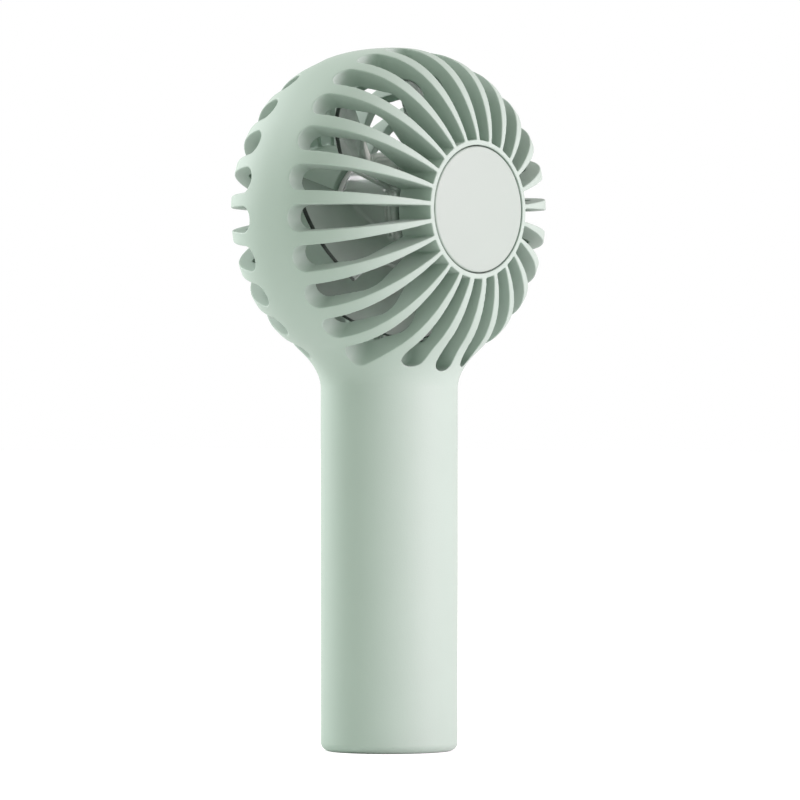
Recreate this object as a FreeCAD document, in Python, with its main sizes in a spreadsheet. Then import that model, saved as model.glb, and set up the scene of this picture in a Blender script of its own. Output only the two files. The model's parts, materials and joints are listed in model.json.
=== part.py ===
import FreeCAD, Part
import math
import os
import re

import Sketcher
from FreeCAD import Placement, Rotation, Vector

# A handheld electric fan: a round handle that carries a caged axial impeller.
# Up is +Z, the air leaves towards -Y, and the origin is the centre of the handle's foot.
# Lengths are in millimetres and angles in degrees.
# Distances along the fan's axis are counted in Y from the middle of the head.

SIZES = {
    # Head: a superellipse turned about the fan's axis
    "head_height": 125.75,
    "head_radius": 38.3,
    "head_half_depth": 30.2,
    "head_roundness": 2.5,
    "hub_radius": 16.0,
    "hub_face": 28.8,
    # Room for the impeller inside the head
    "cavity_radius": 34.3,
    "cavity_end_radius": 31.0,
    "cavity_flat_radius": 28.0,
    "cavity_straight": 2.0,
    "cavity_corner": 15.5,
    "cavity_depth": 18.5,
    "cavity_bevel_depth": 0.9,
    "cavity_bevel_width": 2.1,
    "rear_cavity_start": 5.5,
    "seam_overlap": 1.0,
    # Air slots between the ribs
    "slot_count": 25,
    "slot_taper": 0.0722,
    "slot_base": 0.37,
    "front_tip": 3.4,
    "rear_tip": 7.4,
    "low_tip": 11.0,
    "low_slot_end": 35.9,
    "slot_root": 0.8,
    # Handle
    "handle_radius": 16.0,
    "handle_wall": 2.0,
    "bore_top": 85.0,
    "neck_blend": 8.0,
    "foot_round": 2.0,
    "seam_depth": 5.4,
    # Hub cups and their caps
    "cap_radius": 14.55,
    "cap_thickness": 2.0,
    "cap_skirt": 12.8,
    "seat_radius": 14.8,
    "seat_depth": 24.0,
    "cup_radius": 12.0,
    "front_floor": 20.5,
    "motor_floor": 5.5,
    "motor_floor_back": 7.5,
    "motor_barrel_radius": 13.6,
    "barrel_inset": 0.2,
    "barrel_overlap": 2.0,
    # Impeller
    "blade_count": 7,
    "blade_tip": 30.6,
    "blade_front": 13.3,
    "blade_back": 1.5,
    "blade_wrap": 47.0,
    "blade_phase": 189.0,
    "blade_root_thickness": 1.8,
    "blade_tip_thickness": 1.0,
    "blade_camber": 1.1,
    "blade_edge_share": 0.35,
    "blade_root_inset": 1.3,
    "spinner_radius": 14.0,
    "spinner_front": 15.2,
    "spinner_back": 2.0,
    "spinner_edge": 1.0,
    "spinner_floor": 14.0,
    # Motor
    "can_radius": 12.2,
    "can_wall": 0.6,
    "can_back": 1.0,
    "magnet_inner": 10.4,
    "magnet_front": 12.4,
    "magnet_back": 1.6,
    "stator_radius": 10.0,
    "stator_front": 10.4,
    "stator_back": 3.4,
    "stator_ring": 5.5,
    "tooth_count": 9,
    "tooth_width": 2.0,
    "shoe_depth": 1.0,
    "shoe_width": 5.2,
    "coil_width": 3.6,
    "coil_inner": 5.7,
    "coil_outer": 8.8,
    "coil_overhang": 0.9,
    "shaft_radius": 1.0,
    "shaft_back": 1.8,
    "bearing_play": 0.03,
    "bearing_radius": 2.5,
    "bearing_width": 2.3,
    "front_bearing_place": 11.2,
    "rear_bearing_place": 2.4,
    "clip_radius": 2.1,
    "clip_gap": 0.3,
    "clip_thickness": 0.4,
    "tube_radius": 3.5,
    "tube_front": 11.6,
    "flange_radius": 12.5,
    "flange_front": 3.9,
    "motor_board_radius": 10.8,
    "motor_board_bore": 3.6,
    "motor_board_front": 3.0,
    "motor_screw_circle": 8.8,
    # Small screws
    "screw_radius": 0.8,
    "screw_head": 1.5,
    "screw_head_height": 1.1,
    "motor_screw_length": 3.0,
    "board_screw_length": 4.0,
    "foot_screw_length": 6.0,
    "screw_sink_play": 0.1,
    # Battery and its cradle
    "cell_radius": 9.2,
    "cell_length": 65.0,
    "cell_bottom": 14.0,
    "cell_forward": 3.0,
    "cradle_inner": 9.3,
    "cradle_outer": 10.5,
    "cradle_bottom": 11.0,
    "cradle_top": 80.8,
    "cradle_depth": 1.0,
    "tab_width": 6.0,
    "tab_thickness": 0.3,
    "tab_inset": 4.0,
    "tab_end_gap": 0.5,
    "foam_width": 8.0,
    "foam_height": 36.0,
    "foam_bottom": 26.0,
    # Control board and what stands on it
    "board_width": 20.0,
    "board_bottom": 14.0,
    "board_height": 66.0,
    "board_front": 7.4,
    "board_back": 8.6,
    "board_screw_across": 7.2,
    "board_screw_low": 27.0,
    "board_screw_high": 77.0,
    "boss_radius": 2.0,
    "port_height": 20.0,
    "port_width": 9.0,
    "port_thickness": 3.2,
    "port_wall": 0.3,
    "port_mouth": 15.3,
    "port_clearance": 0.35,
    "tongue_width": 6.4,
    "tongue_thickness": 0.7,
    "tongue_end": 14.0,
    "port_back": 1.2,
    "light_count": 4,
    "light_bottom": 47.0,
    "light_pitch": 3.5,
    "light_radius": 0.8,
    "light_face": 15.95,
    "light_start": 9.4,
    "led_width": 1.6,
    "led_depth": 0.7,
    "led_height": 0.8,
    "light_bar_width": 2.8,
    "light_bar_front": 12.2,
    "light_bar_depth": 1.3,
    "light_bar_overhang": 2.0,
    # Power button, its switch and its travel
    "button_height": 66.0,
    "button_radius": 5.0,
    "button_face": 15.5,
    "button_gap": 0.3,
    "button_flange": 6.2,
    "button_flange_back": 12.2,
    "button_flange_front": 11.4,
    "button_dish": 0.5,
    "button_bevel_depth": 0.4,
    "button_bevel_width": 0.5,
    "switch_side": 6.0,
    "switch_top": 10.7,
    "switch_bore": 1.9,
    "switch_bore_end": 9.3,
    "plunger_radius": 1.6,
    "plunger_end": 9.9,
    # Foot
    "foot_cap_radius": 13.8,
    "foot_cap_bottom": 0.3,
    "foot_cap_top": 3.0,
    "foot_pad_radius": 12.6,
    "foot_pad_top": 0.9,
    "foot_pad_play": 0.05,
    "foot_boss_across": 10.4,
    "foot_boss_forward": 6.0,
    "foot_boss_radius": 2.4,
    # Leads
    "lead_radius": 0.4,
    "lead_across": 0.5,
    "duct_radius": 1.2,
    "lead_bend": 3.0,
    "battery_lead_bend": 2.0,
    "lead_drop": 8.4,
    # Cutting tools, which only have to be long enough
    "tool_length": 10.0,
    "tool_overrun": 4.0,
    "room": 60.0,
}

# A motor lead's corners from the motor board to the handle: (behind the head's middle
# plane, below the fan's axis). They pass through the solid rib at the bottom of the rear.
MOTOR_LEAD = [(3.9, 8.4), (20.2, 8.4), (20.2, 27.5), (17.6, 32.2), (11.5, 36.2), (10.3, 44.5), (9.0, 50.0)]
DUCT = [(20.2, 11.0)] + MOTOR_LEAD[2:6]
# A battery lead's corners from a cell tab round the board's end to the board's face.
POSITIVE_LEAD = [(2.4, 2.4, 79.7), (2.4, 5.4, 80.0), (2.88, 9.6, 82.04), (3.12, 9.6, 75.0)]
NEGATIVE_LEAD = [(-2.4, 2.4, 13.3), (-2.4, 5.4, 13.0), (-2.88, 9.6, 11.32), (-3.12, 9.6, 17.0)]
# Chips on the board: (left side, bottom, width, depth, height)
CHIPS = {
    "driver_chip": ("0 - 2.5", "28", "5", "1", "5"),
    "charge_chip": ("0 - 6.5", "34.5", "4", "1", "4"),
    "coil_chip": ("2", "35", "4.5", "2", "4.5"),
}
MOTOR_SCREW_ANGLES = (30, 150, 210, 330)

doc = FreeCAD.newDocument("handheld_fan")
sheet = doc.addObject("Spreadsheet::Sheet", "sizes")
for row, (alias, value) in enumerate(SIZES.items(), start=1):
    sheet.set(f"A{row}", alias)
    sheet.set(f"B{row}", str(value))
    sheet.setAlias(f"B{row}", alias)
working = doc.addObject("Spreadsheet::Sheet", "working")
doc.recompute()

SHEET_NAME = {alias: "sizes." + alias for alias in SIZES}
parts = []
ALONG_Y = Rotation(Vector(1, 0, 0), -90)
HEAD = "head_height"


def bound(expression):
    """Turn the bare size names in an expression into references to the sheet."""
    return re.sub(r"[a-z_]+", lambda word: SHEET_NAME.get(word.group(), word.group()), expression)


def size(expression):
    """The value of an expression in the sheet's sizes, worked out in a cell."""
    working.set("A1", "=" + bound(expression))
    working.recompute()
    return float(working.get("A1"))


def drive(thing, setting, expression):
    """Bind one setting of an object to sizes in the sheet."""
    thing.setExpression(setting, bound(expression))


def place(thing, x="0", y="0", z="0", rotation=None):
    if rotation is not None:
        thing.Placement = Placement(Vector(), rotation)
    drive(thing, "Placement.Base.x", x)
    drive(thing, "Placement.Base.y", y)
    drive(thing, "Placement.Base.z", z)
    return thing


def keep(thing, label):
    """Name a finished sub-part, which is then exported under that name."""
    thing.Label = label
    parts.append(thing)
    return thing


def block(name, x, y, z, width, depth, height):
    thing = doc.addObject("Part::Box", name)
    drive(thing, "Length", width)
    drive(thing, "Width", depth)
    drive(thing, "Height", height)
    return place(thing, x, y, z)


def rod(name, radius, length, x="0", y="0", z="0", along_y=False):
    thing = doc.addObject("Part::Cylinder", name)
    drive(thing, "Radius", radius)
    drive(thing, "Height", length)
    return place(thing, x, y, z, ALONG_Y if along_y else Rotation())


def joined(name, things):
    thing = doc.addObject("Part::MultiFuse", name)
    thing.Shapes = things
    return thing


def grouped(name, things):
    thing = doc.addObject("Part::Compound", name)
    thing.Links = things
    return thing


def cut(name, base, tool):
    thing = doc.addObject("Part::Cut", name)
    thing.Base = base
    thing.Tool = tool
    return thing


def common(name, base, tool):
    thing = doc.addObject("Part::Common", name)
    thing.Base = base
    thing.Tool = tool
    return thing


def computed(name, shape):
    """A shape that no primitive or sketch describes, worked out from the sheet."""
    thing = doc.addObject("Part::Feature", name)
    thing.Shape = shape
    thing.Placement = Placement()
    return thing


def origin_plane(body, role):
    return next(plane for plane in body.Origin.OriginFeatures if plane.Role == role)


def turned(name, outline, along_y=True):
    """A body turned from an outline of (axial, radial) corners, each bound to the sheet."""
    body = doc.addObject("PartDesign::Body", name)
    sketch = body.newObject("Sketcher::SketchObject", name + "_outline")
    sketch.AttachmentSupport = (origin_plane(body, "YZ_Plane" if along_y else "XZ_Plane"), [""])
    sketch.MapMode = "FlatFace"
    if not along_y:
        outline = [(radial, axial) for axial, radial in outline]
    points = [Vector(size(across), size(up), 0) for across, up in outline]
    for start, end in zip(points, points[1:] + points[:1]):
        sketch.addGeometry(Part.LineSegment(start, end))
    count = len(points)
    for index in range(count):
        sketch.addConstraint(Sketcher.Constraint("Coincident", index, 2, (index + 1) % count, 1))
    for index, (across, up) in enumerate(outline):
        fix_corner(sketch, index, "DistanceX", -2, across)
        fix_corner(sketch, index, "DistanceY", -1, up)
    revolution = body.newObject("PartDesign::Revolution", name + "_turned")
    revolution.Profile = sketch
    revolution.ReferenceAxis = (sketch, ["H_Axis" if along_y else "V_Axis"])
    revolution.Angle = 360
    if along_y:
        place(body, z=HEAD)
    return body


def fix_corner(sketch, index, kind, axis, expression):
    """Hold one coordinate of a sketch corner at a size, or on the axis where it is zero."""
    if expression == "0":
        sketch.addConstraint(Sketcher.Constraint("PointOnObject", index, 1, axis))
        return
    rule = Sketcher.Constraint(kind, -1, 1, index, 1, size(expression))
    drive(sketch, f"Constraints[{sketch.addConstraint(rule)}]", expression)


def bent_path(points, bend):
    """Straight runs joined by tangent arcs, through a list of corners."""
    edges = []
    start = points[0]
    for before, corner, after in zip(points, points[1:], points[2:]):
        inward = (before - corner).normalize()
        outward = (after - corner).normalize()
        half_turn = (math.pi - inward.getAngle(outward)) / 2
        shorter = min((before - corner).Length, (after - corner).Length)
        reach = min(bend * math.tan(half_turn), 0.45 * shorter)
        radius = reach / math.tan(half_turn)
        middle = (inward + outward).normalize()
        apex = corner + middle * (radius / math.cos(half_turn) - radius)
        arc_start = corner + inward * reach
        arc_end = corner + outward * reach
        edges.append(Part.LineSegment(start, arc_start).toShape())
        edges.append(Part.Arc(arc_start, apex, arc_end).toShape())
        start = arc_end
    edges.append(Part.LineSegment(start, points[-1]).toShape())
    return Part.Wire(edges)


def round_lead(points, radius, bend):
    """A round lead along a bent path."""
    path = bent_path(points, bend)
    first = points[0]
    circle = Part.Circle(first, points[1] - first, radius)
    lead = path.makePipeShell([Part.Wire(circle.toShape())], True, False)
    section = math.pi * radius ** 2
    if abs(lead.Volume / (section * path.Length) - 1) > 0.02:
        raise RuntimeError("a lead's volume doesn't match its section and length")
    return lead


# Outer form ---------------------------------------------------------------------------


def outer_form():
    """The turned head blended into the handle, as one solid."""
    radius = size("head_radius")
    depth = size("head_half_depth")
    power = size("head_roundness")
    face = size("hub_face")
    rim_angle = math.asin((1 - (face / depth) ** power) ** 0.5)
    steps = 16
    rim = []
    for step in range(steps + 1):
        turn = rim_angle + (math.pi - 2 * rim_angle) * step / steps
        across = math.copysign(abs(math.cos(turn)) ** (2 / power), -math.cos(turn)) * depth
        rim.append(Vector(0, across, size(HEAD) + radius * math.sin(turn) ** (2 / power)))
    curve = Part.BSplineCurve()
    curve.interpolate(rim)
    front = Vector(0, -face, size(HEAD))
    back = Vector(0, face, size(HEAD))
    edges = [
        Part.LineSegment(front, rim[0]).toShape(),
        curve.toShape(),
        Part.LineSegment(rim[-1], back).toShape(),
        Part.LineSegment(back, front).toShape(),
    ]
    head = Part.Face(Part.Wire(edges)).revolve(front, Vector(0, 1, 0), 360)
    grip_radius = size("handle_radius")
    grip = Part.makeCylinder(grip_radius, size(HEAD))
    foot = [edge for edge in grip.Edges if edge.BoundBox.ZMax < 1]
    grip = grip.makeFillet(size("foot_round"), foot)
    whole = grip.fuse(head)
    neck = [edge for edge in whole.Edges if is_neck(edge, grip_radius)]
    return whole.makeFillet(size("neck_blend"), neck)


def is_neck(edge, grip_radius):
    """True for an edge where the handle's side meets the head."""
    for share in (0.2, 0.5, 0.8):
        point = edge.valueAt(edge.FirstParameter + share * (edge.LastParameter - edge.FirstParameter))
        if abs(math.hypot(point.x, point.y) - grip_radius) > 0.01:
            return False
        if not size(HEAD) / 2 < point.z < size(HEAD):
            return False
    return edge.Length > 1 and edge.BoundBox.ZLength < 5


def slot_cutter(angle, tip, outer, forward):
    """The wedge of one air slot, with a round end towards the head's middle plane."""
    inner = size("hub_radius - slot_root")
    far = size("head_half_depth + tool_overrun")
    centre = tip + size("slot_taper") * size("head_radius") + size("slot_base")
    turn = math.radians(angle)
    radial = Vector(math.cos(turn), 0, math.sin(turn))
    across = Vector(-math.sin(turn), 0, math.cos(turn))
    ahead = Vector(0, -1 if forward else 1, 0)
    wires = []
    for distance in (inner, outer):
        half = size("slot_taper") * distance + size("slot_base")
        middle = radial * distance + Vector(0, 0, size(HEAD))
        left_far = middle - across * half + ahead * far
        left = middle - across * half + ahead * centre
        end = middle + ahead * (centre - half)
        right = middle + across * half + ahead * centre
        right_far = middle + across * half + ahead * far
        edges = [
            Part.LineSegment(left_far, left).toShape(),
            Part.Arc(left, end, right).toShape(),
            Part.LineSegment(right, right_far).toShape(),
            Part.LineSegment(right_far, left_far).toShape(),
        ]
        wires.append(Part.Wire(edges))
    return Part.makeLoft(wires, True, True)


def slot_cutters(forward):
    """Every air slot of one side. The lowest ones end early, clear of the handle."""
    count = int(size("slot_count"))
    pitch = 360 / count
    cutters = []
    for index in range(count):
        from_lowest = min(index, count - index)
        if from_lowest == 0 and not forward:
            continue
        tip = size("front_tip" if forward else "rear_tip")
        outer = size("head_radius + tool_overrun")
        if from_lowest <= 1:
            tip = size("low_tip")
            outer = size("low_slot_end")
        cutters.append(slot_cutter(270 + pitch * index, tip, outer, forward))
    hub_start = Vector(0, size("0 - hub_face"), size(HEAD))
    hub = Part.makeCylinder(size("hub_radius"), size("2 * hub_face"), hub_start, Vector(0, 1, 0))
    return [cutter.cut(hub) for cutter in cutters]


def side_of_seam(name, rear):
    """A block that holds everything on one side of the seam."""
    start = "seam_depth" if rear else "seam_depth - room"
    return block(name, "0 - room", start, "0 - room", "2 * room", "room", "5 * room")


def half_skin(side, form, rear):
    """One side of the skin, hollow and slotted: half the cage, band, hub and handle."""
    sign = "" if rear else "0 - "
    past_seam = "seam_depth - seam_overlap" if rear else "seam_depth + seam_overlap"
    cavity = turned(side + "_cavity", [
        (past_seam, "0"),
        (past_seam, "cavity_radius"),
        ("rear_cavity_start" if rear else "0 - cavity_straight", "cavity_radius"),
        (sign + "cavity_corner", "cavity_end_radius"),
        (sign + "(cavity_depth - cavity_bevel_depth)", "cavity_flat_radius + cavity_bevel_width"),
        (sign + "cavity_depth", "cavity_flat_radius"),
        (sign + "cavity_depth", "0"),
    ])
    floor = "motor_floor_back" if rear else "0 - front_floor"
    cup = turned(side + "_cup", [
        (sign + "(hub_face + seam_overlap)", "0"),
        (sign + "(hub_face + seam_overlap)", "seat_radius"),
        (sign + "seat_depth", "seat_radius"),
        (sign + "seat_depth", "cup_radius"),
        (floor, "cup_radius"),
        (floor, "0"),
    ])
    barrel = turned(side + "_barrel", [
        (sign + "motor_floor", "0"),
        (sign + "motor_floor", "motor_barrel_radius"),
        (sign + "cavity_depth", "hub_radius - barrel_inset"),
        (sign + "(cavity_depth + barrel_overlap)", "hub_radius - barrel_inset"),
        (sign + "(cavity_depth + barrel_overlap)", "0"),
    ]) if rear else None
    bore = rod(side + "_bore", "handle_radius - handle_wall", "bore_top + tool_overrun",
               z="0 - tool_overrun")
    half = side_of_seam(side + "_side", rear)
    doc.recompute()
    skin = form.Shape.common(half.Shape).cut(cavity.Shape)
    if rear:
        skin = skin.fuse(barrel.Shape)
    return skin.cut([cup.Shape, bore.Shape] + slot_cutters(not rear))


def below_axis(route, across):
    """A route's corners as points, at a distance to one side of the fan's middle."""
    return [Vector(across, behind, size(HEAD) - below) for behind, below in route]


# Shells -------------------------------------------------------------------------------


def board_bosses():
    bosses = []
    for row, height in enumerate(("board_screw_low", "board_screw_high")):
        for side, sign in enumerate(("", "0 - ")):
            bosses.append(rod(
                f"board_boss_{row}{side}", "boss_radius", "handle_radius - 3 - board_back",
                x=sign + "board_screw_across", y="board_back", z=height, along_y=True))
    return bosses


def foot_bosses():
    return [
        rod(f"foot_boss_{side}", "foot_boss_radius", "cradle_bottom - foot_cap_top",
            x=sign + "foot_boss_across", y="0 - foot_boss_forward", z="foot_cap_top")
        for side, sign in enumerate(("", "0 - "))
    ]


def screw_at(name, x, y, z, length, along_y=True, head_first=True):
    """A small pan-head screw whose shank starts at the given point and runs along its axis."""
    head_end = "0 - screw_head_height" if head_first else "screw_head_height"
    shank_end = length if head_first else "0 - " + length
    body = turned(name, [
        (head_end, "0"),
        (head_end, "screw_head"),
        ("0", "screw_head"),
        ("0", "screw_radius"),
        (shank_end, "screw_radius"),
        (shank_end, "0"),
    ], along_y)
    return place(body, x, y, z)


def front_shell(form):
    limit = rod("foot_boss_limit", "handle_radius - handle_wall / 2", "cradle_bottom + tool_length")
    bosses = common("foot_bosses", joined("foot_boss_pair", foot_bosses()), limit)
    pilots = [
        rod(f"foot_pilot_{side}", "screw_radius", "foot_screw_length + 2", x=sign + "foot_boss_across",
            y="0 - foot_boss_forward", z="foot_cap_top - 1")
        for side, sign in enumerate(("", "0 - "))
    ]
    skin = half_skin("front", form, False)
    shell = skin.fuse(bosses.Shape).cut([pilot.Shape for pilot in pilots])
    keep(computed("front_shell_body", shell), "front_shell")


def rear_shell(form):
    bosses = board_bosses()
    tools = []
    for row, height in enumerate(("board_screw_low", "board_screw_high")):
        for side, sign in enumerate(("", "0 - ")):
            tools.append(rod(
                f"board_pilot_{row}{side}", "screw_radius", "board_screw_length",
                x=sign + "board_screw_across", y="board_back - 0.5", z=height, along_y=True))
    tools.append(rod("button_hole", "button_radius + button_gap", "tool_length",
                     y="board_back + 1", z="button_height", along_y=True))
    tools.append(port_solid("port_hole", "port_width + 2 * port_clearance",
                            "port_thickness + 2 * port_clearance", "board_back + 1", "tool_length"))
    for index in range(int(size("light_count"))):
        tools.append(rod(f"light_hole_{index}", "light_radius", "tool_length", y="board_back + 1",
                         z=f"light_bottom + {index} * light_pitch", along_y=True))
    tools += motor_screw_holes("floor_hole")
    tools.append(rod("floor_lead_hole", "duct_radius", "6", y="motor_floor - 1",
                     z="head_height - lead_drop", along_y=True))
    duct_shape = round_lead(below_axis(DUCT, 0), size("duct_radius"), size("lead_bend"))
    duct = computed("lead_duct", duct_shape)
    skin = half_skin("rear", form, True)
    shell = skin.fuse([boss.Shape for boss in bosses])
    shell = shell.cut([tool.Shape for tool in tools + [duct]])
    keep(computed("rear_shell_body", shell), "rear_shell")


def motor_screw_holes(name):
    holes = []
    for index, angle in enumerate(MOTOR_SCREW_ANGLES):
        across = f"motor_screw_circle * cos({angle})"
        up = f"head_height + motor_screw_circle * sin({angle})"
        holes.append(rod(f"{name}_{index}", "screw_radius", "6", x=across,
                         y="flange_front + 0.3", z=up, along_y=True))
    return holes


def hub_caps():
    for label, sign in (("front_cap", "0 - "), ("rear_cap", "")):
        keep(turned(label + "_body", [
            (sign + "hub_face", "0"),
            (sign + "hub_face", "cap_radius"),
            (sign + "seat_depth", "cap_radius"),
            (sign + "seat_depth", "cap_skirt"),
            (f"{sign}(hub_face - cap_thickness)", "cap_skirt"),
            (f"{sign}(hub_face - cap_thickness)", "0"),
        ]), label)


def foot():
    cap = turned("foot_cap_body", [
        ("foot_cap_bottom", "foot_pad_radius + foot_pad_play"),
        ("foot_cap_bottom", "foot_cap_radius"),
        ("foot_cap_top", "foot_cap_radius"),
        ("foot_cap_top", "0"),
        ("foot_pad_top", "0"),
        ("foot_pad_top", "foot_pad_radius + foot_pad_play"),
    ], along_y=False)
    holes = []
    screws = []
    for side, sign in enumerate(("", "0 - ")):
        spot = dict(x=sign + "foot_boss_across", y="0 - foot_boss_forward")
        holes.append(rod(f"foot_cap_hole_{side}", "screw_radius", "tool_length", z="0 - 1", **spot))
        holes.append(rod(f"foot_cap_sink_{side}", "screw_head + screw_sink_play",
                         "screw_head_height + screw_sink_play", z="foot_pad_top", **spot))
        screws.append(screw_at(f"foot_screw_{side}", length="foot_screw_length", along_y=False,
                               z="foot_pad_top + screw_head_height + screw_sink_play", **spot))
    keep(cut("foot_cap_cut", cap, grouped("foot_cap_holes", holes)), "base_cap")
    keep(grouped("foot_screws", screws), "base_screws")
    keep(turned("foot_pad", [
        ("0", "0"),
        ("0", "foot_pad_radius"),
        ("foot_pad_top", "foot_pad_radius"),
        ("foot_pad_top", "0"),
    ], along_y=False), "base_pad")


# Impeller and motor -------------------------------------------------------------------


def blade_section(distance, thickness):
    """A cambered blade section in the plane at a distance from the fan's axis."""
    front = size("blade_front")
    back = size("blade_back")
    half_wrap = math.radians(size("blade_wrap")) / 2
    camber = size("blade_camber")
    edge = size("blade_edge_share")
    upper = []
    lower = []
    steps = 8
    for step in range(steps + 1):
        share = step / steps
        turn = (2 * share - 1) * half_wrap
        across = distance * math.tan(turn)
        bulge = math.sin(math.pi * min(1, share + 0.02))
        ahead = share * (front + back) - back - camber * math.sin(math.pi * share)
        half = thickness / 2 * (edge + (1 - edge) * bulge ** 0.5)
        pitch = math.atan2(front + back, 2 * distance * math.tan(half_wrap))
        shift = Vector(-math.sin(pitch), 0, math.cos(pitch)) * half
        upper.append(Vector(across, ahead, 0) + Vector(shift.x, shift.z, 0))
        lower.append(Vector(across, ahead, 0) - Vector(shift.x, shift.z, 0))
    outline = []
    for run in (upper, lower[::-1]):
        curve = Part.BSplineCurve()
        curve.interpolate([Vector(distance, -point.y, point.x) for point in run])
        outline.append(curve)
    first, second = outline
    edges = [
        first.toShape(),
        Part.LineSegment(first.EndPoint, second.StartPoint).toShape(),
        second.toShape(),
        Part.LineSegment(second.EndPoint, first.StartPoint).toShape(),
    ]
    return Part.Wire(edges)


def blades():
    """All blades, made along +X, trimmed to the tip circle and turned to their places."""
    root = size("spinner_radius - blade_root_inset")
    tip = size("blade_tip")
    root_thickness = size("blade_root_thickness")
    tip_thickness = size("blade_tip_thickness")
    sections = []
    for share in (0, 0.35, 0.7, 1):
        distance = root + (tip + 1 - root) * share
        thickness = root_thickness + (tip_thickness - root_thickness) * share
        sections.append(blade_section(distance, thickness))
    blade = Part.makeLoft(sections, True, True)
    limit = Part.makeCylinder(tip, size("room"), Vector(0, -size("room") / 2, 0), Vector(0, 1, 0))
    blade = blade.common(limit)
    count = int(size("blade_count"))
    copies = []
    for index in range(count):
        copy = blade.copy()
        # A turn about +Y runs clockwise seen from the front, so the angle is negated.
        turn = -(size("blade_phase") + 360 / count * index)
        copy.rotate(Vector(), Vector(0, 1, 0), turn)
        copies.append(copy.translated(Vector(0, 0, size(HEAD))))
    return Part.makeCompound(copies)


def impeller():
    spinner = turned("spinner", [
        ("0 - spinner_front", "0"),
        ("0 - spinner_front", "spinner_radius - spinner_edge"),
        ("0 - spinner_front + 0.4 * spinner_edge", "spinner_radius - 0.4 * spinner_edge"),
        ("0 - spinner_front + spinner_edge", "spinner_radius"),
        ("spinner_back", "spinner_radius"),
        ("spinner_back", "can_radius"),
        ("0 - spinner_floor", "can_radius"),
        ("0 - spinner_floor", "0"),
    ])
    keep(joined("impeller_body", [spinner, computed("impeller_blades", blades())]), "impeller")


def motor():
    keep(turned("can", [
        ("0 - spinner_floor", "shaft_radius"),
        ("0 - spinner_floor", "can_radius"),
        ("0 - can_back", "can_radius"),
        ("0 - can_back", "can_radius - can_wall"),
        ("0 - spinner_floor + can_wall", "can_radius - can_wall"),
        ("0 - spinner_floor + can_wall", "shaft_radius"),
    ]), "rotor_can")
    keep(turned("magnet", [
        ("0 - magnet_front", "magnet_inner"),
        ("0 - magnet_front", "can_radius - can_wall"),
        ("0 - magnet_back", "can_radius - can_wall"),
        ("0 - magnet_back", "magnet_inner"),
    ]), "magnet_ring")
    keep(turned("shaft", [
        ("0 - spinner_floor", "0"),
        ("0 - spinner_floor", "shaft_radius"),
        ("shaft_back", "shaft_radius"),
        ("shaft_back", "0"),
    ]), "motor_shaft")
    keep(turned("clip", [
        ("clip_gap", "shaft_radius"),
        ("clip_gap", "clip_radius"),
        ("clip_gap + clip_thickness", "clip_radius"),
        ("clip_gap + clip_thickness", "shaft_radius"),
    ]), "shaft_clip")
    for label in ("front_bearing", "rear_bearing"):
        start = f"0 - {label}_place"
        keep(turned(label + "_ring", [
            (start, "shaft_radius + bearing_play"),
            (start, "bearing_radius"),
            (f"{start} + bearing_width", "bearing_radius"),
            (f"{start} + bearing_width", "shaft_radius + bearing_play"),
        ]), label)
    stator()
    motor_mount()


def about_head(thing, angle):
    """Turn an object about the fan's axis, which its own local axis already lies on."""
    thing.Placement = Placement(Vector(0, 0, size(HEAD)), Rotation(Vector(0, 1, 0), angle))
    drive(thing, "Placement.Base.z", HEAD)
    return thing


def stator():
    ring = turned("stator_yoke", [
        ("0 - stator_front", "tube_radius"),
        ("0 - stator_front", "stator_ring"),
        ("0 - stator_back", "stator_ring"),
        ("0 - stator_back", "tube_radius"),
    ])
    rim = turned("stator_rim", [
        ("0 - stator_front", "stator_radius - shoe_depth"),
        ("0 - stator_front", "stator_radius"),
        ("0 - stator_back", "stator_radius"),
        ("0 - stator_back", "stator_radius - shoe_depth"),
    ])
    teeth = []
    shoes = []
    coils = []
    count = int(size("tooth_count"))
    length = "stator_front - stator_back"
    for index in range(count):
        angle = 360 / count * index
        tooth = block(f"tooth_{index}", "stator_ring - 0.4", "0 - stator_front", "0 - tooth_width / 2",
                      "stator_radius - shoe_depth / 2 - stator_ring + 0.4", length, "tooth_width")
        shoe = block(f"shoe_{index}", "stator_ring", "0 - stator_front", "0 - shoe_width / 2",
                     "6", length, "shoe_width")
        coil = block(f"coil_{index}", "coil_inner", "0 - stator_front - coil_overhang",
                     "0 - coil_width / 2", "coil_outer - coil_inner",
                     "stator_front - stator_back + 2 * coil_overhang", "coil_width")
        for made, group in ((tooth, teeth), (shoe, shoes), (coil, coils)):
            group.append(ring_copy(made, angle))
    shoe_ring = common("shoe_ring", rim, joined("shoe_blocks", shoes))
    core = joined("stator_core_body", [ring, shoe_ring] + teeth)
    keep(core, "stator_core")
    keep(cut("windings", grouped("coil_blocks", coils), core), "stator_windings")


def ring_copy(thing, angle):
    """Wrap a block so that it stands at an angle about the fan's axis."""
    holder = doc.addObject("Part::Compound", thing.Name + "_placed")
    holder.Links = [thing]
    return about_head(holder, angle)


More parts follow.
